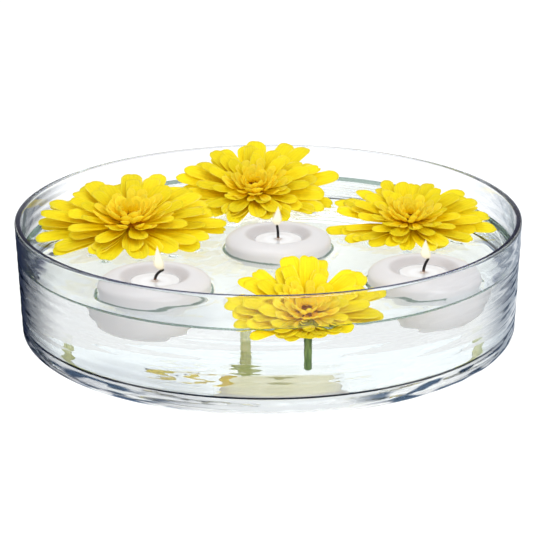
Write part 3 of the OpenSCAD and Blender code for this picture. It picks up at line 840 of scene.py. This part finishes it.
def build_candles():
    for name, c in CANDLES.items():
        body = f"{name}_candle_body"
        seed = WAX_SEED[name]
        ax, ay, az = c["at"]

        def soft(j, a, r, z, seed=seed):
            """Hand-poured wax: a little out of round, most at the edge of the melt."""
            p = Vector((math.cos(a) * 1.1 + seed, math.sin(a) * 1.1, z * 0.05))
            k = 0.45 if z > BELLY_H + 1 and r < CREST_D / 2 + 2 else 0.12
            return k * noise.noise(p) * min(1, r / 10)

        def melt_edge(j, a, r, z, seed=seed):
            p = Vector((math.cos(a) * 1.4 + seed, math.sin(a) * 1.4, 3))
            return 0.5 * noise.noise(p) * min(1, r / 10)

        verts, faces, _ = lathe(candle_profile(), CANDLE_SIDES, soft)
        verts = shifted(verts, c["at"])
        obj = make_object(f"{name}_wax", verts, faces, [wax])
        # painted shade: the wall of the cup between the crest and the pool is darkened
        shade = []
        for x, y, z in verts:
            r = math.hypot(x - ax, y - ay)
            wall = 1 - abs(r - (CREST_D + POOL_D) / 4) / ((CREST_D - POOL_D) / 4 + 0.8)
            shade.append(max(0, min(1, 1.4 * wall)) if z - az > BELLY_H else 0)
        float_attribute(obj, "painted_shade", shade)
        # painted glow: the underside of the middle candle gives off a faint yellow light of its
        # own, standing in for the light that the flowers throw on it
        glow = 1 if name == "middle" else 0
        float_attribute(obj, "under", [glow * max(0, min(1, (9 - v[2] + az) / 6)) for v in verts])
        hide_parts(f"{name}_candle")
        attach(obj, body)

        # melted pool, with its skin drawn up at the wick and at the wax
        rp = POOL_D / 2 + 0.6
        bed = POOL_Z - POOL_T
        profile = [(0, bed - 0.1), (rp * 0.6, bed - 0.1), (rp, bed + 0.4),
                   (rp + 0.35, POOL_Z + 0.28)]
        for r in (rp - 0.4, rp - 1.2, rp - 2.4, rp - 4, 7, 5, 3.4, 2.2, 1.5, 1.0, 0.7):
            edge = max(0, 1 - (rp - r) / 2.6) ** 2 * 0.3
            neck = max(0, 1 - (r - 0.8) / 2.0) ** 2 * 0.8
            profile.append((r, POOL_Z - 0.05 + edge + neck))
        profile.append((0, POOL_Z + 0.6))
        verts, faces, _ = lathe(profile, POOL_SIDES, melt_edge)
        verts = shifted(verts, c["at"])
        pool = make_object(f"{name}_melt", verts, faces, [melted])
        # painted shade and highlight: the pool is a little darker all over but for a pale ring, a
        # painted highlight, and turns brown close round the wick
        shade = []
        for x, y, _ in verts:
            r = math.hypot(x - ax, y - ay)
            painted_shade_pale_ring = 0.3 * (1 - math.exp(-(((r - 6.2) / 1.5) ** 2)))
            shade.append(max(painted_shade_pale_ring, 1 - abs(r - 1.6) / 1.5))
        float_attribute(pool, "painted_shade", shade)
        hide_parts(f"{name}_pool")
        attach(pool, body)

        path = wick_path(c)
        radii = [WICK_D / 2 * (1 - 0.1 * q / len(path)) for q in range(len(path))]
        radii[-1] *= 0.6
        verts, faces, along = tube(path, radii, 14, 0.35)
        wick = make_object(f"{name}_wick_end", verts, faces, [wick_black])
        float_attribute(wick, "burn", along)
        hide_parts(f"{name}_wick")
        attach(wick, body)

        build_flame(name, body, path, seed)

        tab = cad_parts[f"{name}_wick_tab"]
        tab.data.materials.clear()
        tab.data.materials.append(metal)


# ---- the water ----
def surface_height(x, y):
    """Height of the water's skin: drawn up at the glass and the wax, dimpled by the petals."""
    h = WATER_Z
    to_wall = inside_r(WATER_Z) - math.hypot(x, y)
    h += MENISCUS * math.exp(-max(0, to_wall) / 2.2)
    h += 0.3 * math.exp(-max(0, to_wall) / 5) * math.cos(1.2 * to_wall)
    for c in CANDLES.values():
        d = math.hypot(x - c["at"][0], y - c["at"][1]) - CANDLE_D / 2
        h += 0.9 * math.exp(-max(0, d) / 1.1)
        if 0 < d < 16:
            drift = 2.5 * noise.noise(Vector((x, y, 0)) * 0.06)
            h += 0.36 * math.exp(-d / 5) * math.cos(1.25 * d + drift)
    for px, py, depth, wide in DIMPLES:
        d2 = ((x - px) ** 2 + (y - py) ** 2) / wide**2
        if d2 < 9:
            h += depth * math.exp(-d2)
    return h + 0.10 * noise.noise(Vector((x * 0.045, y * 0.045, 0.3)))


def dimples():
    """Where petals touch the water they pull its skin up or press it down."""
    out = []
    for f in FLOWERS.values():
        for k in (0, 1):
            for i in range(WHORLS[k][0]):
                p, _ = petal_sheet(f, k, i)
                for row in (7, 10, 13, U_STEPS):
                    q = p[row, T_STEPS // 2]
                    if q[2] < WATER_Z + 2.2:
                        sign = 1 if draw(f["n"], k, i, 20) > 0.3 else -1
                        out.append((q[0], q[1], 0.9 * sign, 3.2))
    return out


DIMPLES = dimples()


# rings of points off the glass and the candles, closer where the skin curves more
OFFSETS = [0, 0.35, 0.8, 1.4, 2.0, 2.6, 3.2, 3.9, 4.6, 5.4, 6.3, 7.2, 8.2]
INSIDE_OFFSETS = [-6, -2.5, -0.3]
GRID_STEP = 2.6
SKIN = 0.02  # how far the water's mesh stays off the glass


def ring(x, y, r, count, number):
    """Points round a circle. Every other ring is turned by half a step."""
    turns = [2 * math.pi * (i + 0.5 * (number % 2)) / count for i in range(count)]
    return [(x + r * math.cos(a), y + r * math.sin(a)) for a in turns]


def build_water():
    wall = inside_r(WATER_Z) - SKIN
    points = []
    for m, off in enumerate(OFFSETS):
        points += ring(0, 0, wall - off, RING_POINTS, m)
    for c in CANDLES.values():
        for m, off in enumerate(INSIDE_OFFSETS + OFFSETS):
            around = ring(c["at"][0], c["at"][1], CANDLE_D / 2 + off, 120, m)
            points += [q for q in around if math.hypot(*q) < wall - 8.8]
    m = int(wall / GRID_STEP) + 1
    for i in range(-m, m + 1):
        for j in range(-m, m + 1):
            x, y = (i + 0.5 * (j % 2)) * GRID_STEP, j * GRID_STEP * 0.866
            if math.hypot(x, y) > wall - 9.5:
                continue
            if any(abs(math.hypot(x - c["at"][0], y - c["at"][1]) - CANDLE_D / 2 - 0.8) < 8.9
                   for c in CANDLES.values()):
                continue
            points.append((x, y))
    out = geometry.delaunay_2d_cdt([Vector(p) for p in points], [], [], 0, 1e-4)
    flat, tris = out[0], out[2]
    verts = [(p.x, p.y, surface_height(p.x, p.y)) for p in flat]
    faces = []
    for tri in tris:
        a, b, c = (flat[q] for q in tri)
        ccw = (b.x - a.x) * (c.y - a.y) - (b.y - a.y) * (c.x - a.x) > 0
        faces.append(tuple(tri) if ccw else tuple(reversed(tri)))
    kinds = [0] * len(faces)
    # sides and underside, against the glass
    n = RING_POINTS
    outer = {}
    for q, p in enumerate(flat):
        if math.hypot(p.x, p.y) > wall - 0.05:
            outer[round(math.degrees(math.atan2(p.y, p.x)) % 360 / (360 / n)) % n] = q
    previous = [outer[i] for i in range(n)]
    low = FLOOR_T + COVE_R
    profile = [(inside_r(z) - SKIN, z) for z in (40, 30, 20)]
    profile += [(r - SKIN, z + SKIN)
                for r, z in arc(inside_r(low) - COVE_R, low, COVE_R, 0, -90, 8)]
    profile += [(100, FLOOR_T + SKIN), (50, FLOOR_T + SKIN)]
    for r, z in profile:
        lower = list(range(len(verts), len(verts) + n))
        verts += [(x, y, z) for x, y in ring(0, 0, r, n, 0)]
        for i in range(n):
            j = (i + 1) % n
            faces.append((previous[j], previous[i], lower[i], lower[j]))
            kinds.append(1)
        previous = lower
    verts.append((0, 0, FLOOR_T + SKIN))
    for i in range(n):
        faces.append((previous[(i + 1) % n], previous[i], len(verts) - 1))
        kinds.append(1)
    water = make_object("water_body", verts, faces, [water_top, unseen], kinds)
    normals = np.zeros(len(verts) * 3)
    water.data.vertex_normals.foreach_get("vector", normals)
    # painted reflection: where the skin slopes sharply, at the menisci and ripples, it takes a dark
    # green-grey tint, standing in for the dark surroundings it would mirror
    slope = 1 - np.abs(normals.reshape(-1, 3)[:, 2])
    float_attribute(water, "painted_dark", np.clip(slope / 0.12, 0, 1))
    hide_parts("water")
    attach(water, "root")


# ---- the studio ----
FLOOR_R = 6.0
FLOOR_Z = -0.0004  # just under the foot, so that the two don't share a plane


def build_floor():
    mesh = bpy.data.meshes.new("studio_floor")
    bm = bmesh.new()
    bmesh.ops.create_circle(bm, cap_ends=True, radius=FLOOR_R, segments=96)
    bm.to_mesh(mesh)
    bm.free()
    floor = bpy.data.objects.new("studio_floor", mesh)
    floor.location.z = FLOOR_Z
    bpy.context.scene.collection.objects.link(floor)
    m = new_material("studio_floor")
    grain = noise_of(m, coords(m), 12, 2)
    p = add(m, "ShaderNodeBsdfPrincipled", Roughness=0.9)
    link(m, colour_ramp(m, grain, [(0.3, (0.52, 0.53, 0.54)), (0.7, (0.54, 0.545, 0.55))]),
         p.inputs["Base Color"])
    p.inputs["Emission Color"].default_value = (1, 1, 1, 1)
    p.inputs["Emission Strength"].default_value = 0.5
    # black flats lie on the table round the foot, seen only in and through the glass
    place = add(m, "ShaderNodeNewGeometry")
    sep = add(m, "ShaderNodeSeparateXYZ")
    link(m, place.outputs["Position"], sep.inputs[0])
    x, y, _ = sep.outputs
    away = math_node(m, "ABSOLUTE", x)
    side = grey_ramp(m, away, [(0.0, 0.0), (0.150, 0.0), (0.185, 1.0)])
    radius = math_node(m, "SQRT", math_node(m, "ADD", math_node(m, "MULTIPLY", x, x),
                                            math_node(m, "MULTIPLY", y, y)))
    rim = grey_ramp(m, radius, [(0.0, 0.0), (0.147, 0.0), (0.152, 1.0)])
    ends = grey_ramp(m, away, [(0.0, 0.0), (0.07, 0.0), (0.125, 1.0)])
    before = grey_ramp(m, y, [(0.0, 1.0), (0.06, 1.0), (0.13, 0.0)])
    foot = math_node(m, "MULTIPLY", rim, math_node(m, "MULTIPLY", ends, before))
    dim = add(m, "ShaderNodeEmission", Strength=1.0)
    bars = noise_of(m, coords(m, (52, 6, 1)), 1.0, 4, 0.6)
    night = colour_ramp(m, bars, [(0.45, (0.008, 0.014, 0.040)), (0.58, (0.03, 0.045, 0.09)),
                                  (0.66, (0.18, 0.22, 0.30)), (0.78, (0.75, 0.80, 0.88))])
    dusk = colour_ramp(m, bars, [(0.34, (0.08, 0.11, 0.18)), (0.48, (0.30, 0.36, 0.44)),
                                 (0.58, (0.62, 0.68, 0.75)), (0.70, (1.0, 1.0, 1.0))])
    at_right = math_node(m, "GREATER_THAN", x, 0.0)
    link(m, mixed(m, at_right, night, dusk), dim.inputs["Color"])
    path = add(m, "ShaderNodeLightPath").outputs
    bent = math_node(m, "MAXIMUM", path["Is Glossy Ray"], path["Is Transmission Ray"])
    black = math_node(m, "MULTIPLY", math_node(m, "MAXIMUM", side, foot), 0.9)
    seen = mixed_shader(m, math_node(m, "MULTIPLY", bent, black), p.outputs[0], dim.outputs[0])
    # what the outer wall mirrors: a dark table in front and at the left, paler at the right
    mirrored = add(m, "ShaderNodeEmission", Color=(0.010, 0.017, 0.045, 1))
    beside = grey_ramp(m, away, [(0.0, 0.0), (0.10, 0.0), (0.12, 1.0)])
    share = grey_ramp(m, math_node(m, "ADD", x, 0.5), [(0.0, 0.95), (0.49, 0.95), (0.51, 0.12)])
    hidden = math_node(m, "MAXIMUM", math_node(m, "MULTIPLY", beside, share),
                       math_node(m, "LESS_THAN", y, -0.15))
    bounced = math_node(m, "MULTIPLY", path["Is Reflection Ray"], path["Is Glossy Ray"])
    surface(m, mixed_shader(m, math_node(m, "MULTIPLY", hidden, bounced), seen,
                            mirrored.outputs[0]))
    mesh.materials.append(m)


def build_world():
    world = bpy.data.worlds.new("studio")
    bpy.context.scene.world = world
    world.use_nodes = True
    world.node_tree.nodes.clear()
    t = add(world, "ShaderNodeTexCoord")
    sep = add(world, "ShaderNodeSeparateXYZ")
    link(world, t.outputs["Generated"], sep.inputs[0])
    x, y, z = sep.outputs
    # dark flats stand at both sides and in front, so that the edges of the glass read against white
    left = grey_ramp(world, math_node(world, "MULTIPLY", x, -1), [
        (0.0, 0.0), (0.55, 0.0), (0.80, 1.0), (1.0, 1.0)], "LINEAR")
    right = grey_ramp(world, x, [(0.0, 0.0), (0.62, 0.0), (0.86, 0.8), (1.0, 0.8)], "LINEAR")
    near = grey_ramp(world, math_node(world, "MULTIPLY", y, -1), [
        (0.0, 0.0), (0.25, 0.0), (0.60, 0.75), (1.0, 0.75)], "LINEAR")
    flats = math_node(world, "MAXIMUM", math_node(world, "MAXIMUM", left, right), near)
    band = grey_ramp(world, math_node(world, "ABSOLUTE", z), [
        (0.0, 1.0), (0.30, 1.0), (0.50, 0.0), (1.0, 0.0)], "LINEAR")
    dark = math_node(world, "MULTIPLY", flats, band)
    path = add(world, "ShaderNodeLightPath").outputs
    lit = add(world, "ShaderNodeBackground", Color=(0.97, 0.98, 1.0, 1), Strength=0.8)
    shown = add(world, "ShaderNodeBackground", Strength=1.0)
    link(world, mixed(world, dark, (1.0, 1.0, 1.0), (0.030, 0.045, 0.10)), shown.inputs["Color"])
    # what glass mirrors: dark low down in front, white overhead and behind
    mirrored = add(world, "ShaderNodeBackground", Strength=1.0)
    upper = colour_ramp(world, z, [
        (0.0, (0.03, 0.04, 0.08)), (0.45, (0.06, 0.07, 0.12)), (0.75, (0.55, 0.57, 0.60)),
        (0.95, (1.0, 1.0, 1.0))], "LINEAR")
    behind = grey_ramp(world, y, [(0.0, 0.0), (0.2, 0.0), (0.5, 1.0)])
    link(world, mixed(world, behind, upper, (1.0, 1.0, 1.0)), mirrored.inputs["Color"])
    white = add(world, "ShaderNodeBackground", Color=(1, 1, 1, 1), Strength=1.0)
    bounced = math_node(world, "MULTIPLY", path["Is Glossy Ray"], path["Is Reflection Ray"])
    sky = mixed_shader(world, path["Is Transmission Ray"], lit.outputs[0], shown.outputs[0])
    sky = mixed_shader(world, bounced, sky, mirrored.outputs[0])
    sky = mixed_shader(world, path["Is Camera Ray"], sky, white.outputs[0])
    out = add(world, "ShaderNodeOutputWorld")
    link(world, sky, out.inputs["Surface"])


def aimed(name, data, place, target):
    obj = bpy.data.objects.new(name, data)
    obj.location = place
    obj.rotation_euler = (Vector(target) - obj.location).to_track_quat("-Z", "Y").to_euler()
    bpy.context.scene.collection.objects.link(obj)
    return obj


def area_lamp(name, place, size, power):
    lamp = bpy.data.lights.new(name, "AREA")
    lamp.shape = "DISK"
    lamp.size = size
    lamp.energy = power
    aimed(name, lamp, place, (0, 0, 0.05))


def build_lamps():
    area_lamp("softbox_over", (-0.25, 0.35, 1.5), 1.0, 8)
    area_lamp("softbox_front", (0.5, -1.3, 0.9), 0.9, 14)
    # the front flower stands behind the wall, which takes much of the softboxes' light
    x, y, z = (FLOWERS["front"]["at"] * MM).tolist()
    spot = bpy.data.lights.new("front_flower_spot", "SPOT")
    spot.energy, spot.spot_size, spot.spot_blend = 8, math.radians(8), 0.7
    spot.shadow_soft_size = 0.05
    obj = aimed("front_flower_spot", spot, (x + 0.05, y - 0.62, z + 0.42), (x, y - 0.026, z))
    obj.visible_glossy = False


# the camera, fitted to the outline of the bowl in the photograph's frame
PHOTO_SIZE, BOWL_CENTRE_X = 533, 268.45
CAMERA_LENS, CAMERA_SENSOR = 134.27, 36
CAMERA_PLACE, CAMERA_TARGET, CAMERA_ROLL = (0, -1.1296, 0.4219), (0, 0, 0.0351), -0.25


def build_camera():
    data = bpy.data.cameras.new("photo_camera")
    data.lens = CAMERA_LENS
    data.sensor_width = CAMERA_SENSOR
    data.shift_x = -(BOWL_CENTRE_X - PHOTO_SIZE / 2) / PHOTO_SIZE
    data.clip_start, data.clip_end = 0.05, 30
    cam = bpy.data.objects.new("photo_camera", data)
    place = Vector(CAMERA_PLACE)
    cam.location = place
    look = (Vector(CAMERA_TARGET) - place).to_track_quat("-Z", "Y").to_matrix().to_4x4()
    roll = Matrix.Rotation(math.radians(CAMERA_ROLL), 4, "Z")
    cam.rotation_euler = (look @ roll).to_euler()
    bpy.context.scene.collection.objects.link(cam)
    bpy.context.scene.camera = cam


build_bowl()
build_water()
build_candles()
build_heads()
build_greens()
build_floor()
build_world()
build_lamps()
build_camera()

scene = bpy.context.scene
scene.view_settings.view_transform = "Standard"
scene.cycles.max_bounces = 28
scene.cycles.transmission_bounces = 24
scene.cycles.glossy_bounces = 16
scene.cycles.diffuse_bounces = 4
scene.cycles.transparent_max_bounces = 32
